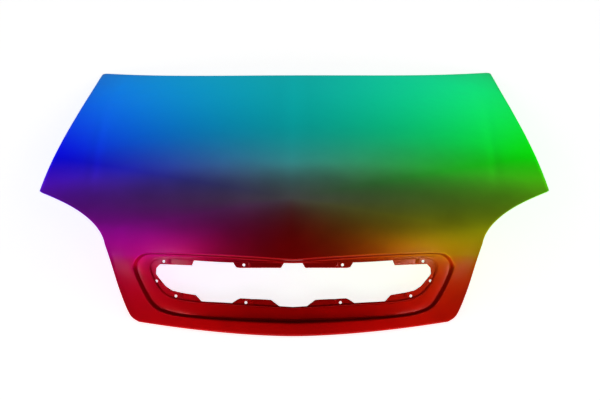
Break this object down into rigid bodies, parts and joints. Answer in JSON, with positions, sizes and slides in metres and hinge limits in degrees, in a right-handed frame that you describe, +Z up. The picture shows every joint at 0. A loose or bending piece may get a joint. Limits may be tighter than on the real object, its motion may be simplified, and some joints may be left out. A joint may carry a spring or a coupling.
{
  "type": "car bonnet",
  "caption": "Pressed steel car bonnet with a folded nose, headlamp cut-outs and a recessed grille aperture, lying outer face up.",
  "frame": {"origin": "under the middle of the bonnet, on the surface it lies on", "axes": "+X across the car towards the right of the picture, +Y from the nose to the windscreen edge, +Z up"},
  "size_m": [1.5, 1.17, 0.242],
  "materials": {
    "outer_paint": "satin colour-shift paint",
    "inner_paint": "thin satin paint over primer",
    "reinforcement_steel": "grey primer",
    "nut_steel": "zinc plated",
    "mastic": "matt"
  },
  "bodies": {
    "root": {"outer_skin": "outer_paint", "inner_panel": "inner_paint", "hinge_left_reinforcement": "reinforcement_steel", "hinge_left_weld_nut_1": "nut_steel", "hinge_left_weld_nut_2": "nut_steel", "hinge_right_reinforcement": "reinforcement_steel", "hinge_right_weld_nut_1": "nut_steel", "hinge_right_weld_nut_2": "nut_steel", "latch_reinforcement": "reinforcement_steel", "latch_weld_nut_1": "nut_steel", "latch_weld_nut_2": "nut_steel", "mastic_pad_left_1": "mastic", "mastic_pad_left_2": "mastic", "mastic_pad_left_3": "mastic", "mastic_pad_left_4": "mastic", "mastic_pad_left_5": "mastic", "mastic_pad_left_6": "mastic", "mastic_pad_right_1": "mastic", "mastic_pad_right_2": "mastic", "mastic_pad_right_3": "mastic", "mastic_pad_right_4": "mastic", "mastic_pad_right_5": "mastic", "mastic_pad_right_6": "mastic"}
  },
  "joints": []
}
